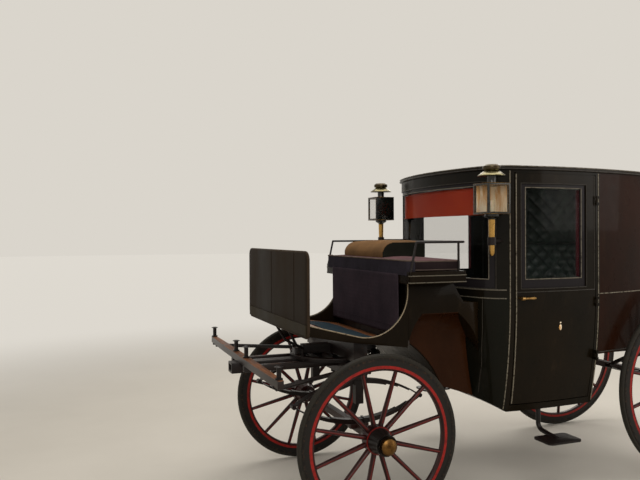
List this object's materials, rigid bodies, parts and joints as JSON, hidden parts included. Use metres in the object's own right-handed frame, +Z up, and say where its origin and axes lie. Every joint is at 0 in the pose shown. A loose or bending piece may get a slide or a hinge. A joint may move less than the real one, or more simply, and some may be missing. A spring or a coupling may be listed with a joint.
{
  "type": "horse-drawn closed carriage with a bowed front",
  "caption": "Closed horse-drawn carriage: bowed glazed front, side doors, driver's boot and seat, turning front gear, leaf springs and spoked wooden wheels.",
  "frame": {"origin": "on the ground, under the middle of the length and width", "axes": "+X towards the horses, +Y to the carriage's left, +Z up"},
  "size_m": [3.7499, 1.694, 2.1608],
  "materials": {
    "body_paint": "glossy near-black green coach lacquer on panelled ash",
    "boot_paint": "glossy dark olive-black coach paint",
    "panel_paint": "dark brown painted panel",
    "painted_wood": "plain dark painted boards",
    "foot_wood": "worn brown varnished boards",
    "gear_wood": "black paint worn to brown wood at the edges",
    "wheel_paint": "dark crimson wheel paint with a bright red line",
    "tyre": "black solid rubber in a steel channel",
    "gear_paint": "brown-red paint on forged axles",
    "black_iron": "black painted forged iron",
    "spring_steel": "black painted spring leaves",
    "brass": "aged polished brass",
    "lamp_metal": "black japanned lamp body with brass rims",
    "glass": "clear flat and bent glass",
    "blind_cloth": "dark red blind cloth",
    "lining_cloth": "dark blue-green buttoned cloth",
    "seat_cloth": "dark navy wool box cloth",
    "dash_leather": "dark patent leather over an iron frame"
  },
  "bodies": {
    "carriage_body": {"floor": "painted_wood", "lower_front_panel": "body_paint", "front_window_frame": "body_paint", "front_glass": "glass", "front_blind": "blind_cloth", "door_frames": "body_paint", "lower_quarters": "body_paint", "upper_quarters": "body_paint", "back_panel": "body_paint", "roof": "body_paint", "inside_seat_box": "painted_wood", "inside_cushion": "lining_cloth", "inside_squab": "lining_cloth", "boot": "boot_paint", "boot_side_panels": "panel_paint", "footboard": "foot_wood", "footboard_sides": "boot_paint", "dash": "dash_leather", "drivers_seat": "boot_paint", "seat_cushion": "seat_cloth", "wedge_cushion": "seat_cloth", "seat_fall": "seat_cloth", "seat_rail": "black_iron", "lamps": "lamp_metal", "lamp_irons": "black_iron", "lamp_glasses": "glass", "steps": "black_iron", "footboard_irons": "black_iron", "upper_wheel_plate": "black_iron", "perch_bolt": "black_iron", "rear_springs": "spring_steel", "rear_axle": "gear_paint", "rear_spring_irons": "black_iron"},
    "turning_gear": {"lower_wheel_plate": "black_iron", "front_bed": "gear_wood", "futchells": "gear_wood", "front_springs": "spring_steel", "front_axle": "gear_paint", "splinter_bar": "gear_wood", "splinter_stays": "black_iron", "roller_bolts": "black_iron", "pole_socket": "black_iron"},
    "door_left": {"door_left": "body_paint", "door_glass_left": "glass", "door_handle_left": "brass"},
    "door_right": {"door_right": "body_paint", "door_glass_right": "glass", "door_handle_right": "brass"},
    "wheel_front_left": {"wheel_front_left": "wheel_paint", "tyre_front_left": "tyre", "hub_cap_front_left": "brass"},
    "wheel_front_right": {"wheel_front_right": "wheel_paint", "tyre_front_right": "tyre", "hub_cap_front_right": "brass"},
    "wheel_rear_left": {"wheel_rear_left": "wheel_paint", "tyre_rear_left": "tyre", "hub_cap_rear_left": "brass"},
    "wheel_rear_right": {"wheel_rear_right": "wheel_paint", "tyre_rear_right": "tyre", "hub_cap_rear_right": "brass"}
  },
  "joints": [
    {"name": "steering", "type": "hinge", "parent": "carriage_body", "child": "turning_gear", "pos_m": [1.163, 0, 0.891], "axis": [0, 0, 1], "range_deg": [-22, 22]},
    {"name": "wheel_front_left_spin", "type": "hinge", "parent": "turning_gear", "child": "wheel_front_left", "pos_m": [1.163, 0.647, 0.5], "axis": [0, 1, 0], "continuous": true},
    {"name": "wheel_front_right_spin", "type": "hinge", "parent": "turning_gear", "child": "wheel_front_right", "pos_m": [1.163, -0.647, 0.5], "axis": [0, 1, 0], "continuous": true},
    {"name": "wheel_rear_left_spin", "type": "hinge", "parent": "carriage_body", "child": "wheel_rear_left", "pos_m": [-1.245, 0.639, 0.63], "axis": [0, 1, 0], "continuous": true},
    {"name": "wheel_rear_right_spin", "type": "hinge", "parent": "carriage_body", "child": "wheel_rear_right", "pos_m": [-1.245, -0.639, 0.63], "axis": [0, 1, 0], "continuous": true},
    {"name": "door_left_hinge", "type": "hinge", "parent": "carriage_body", "child": "door_left", "pos_m": [-0.432, 0.66067, 1.236], "axis": [0, 0, 1], "range_deg": [0, 85]},
    {"name": "door_right_hinge", "type": "hinge", "parent": "carriage_body", "child": "door_right", "pos_m": [-0.432, -0.66067, 1.236], "axis": [0, 0, -1], "range_deg": [0, 85]}
  ]
}
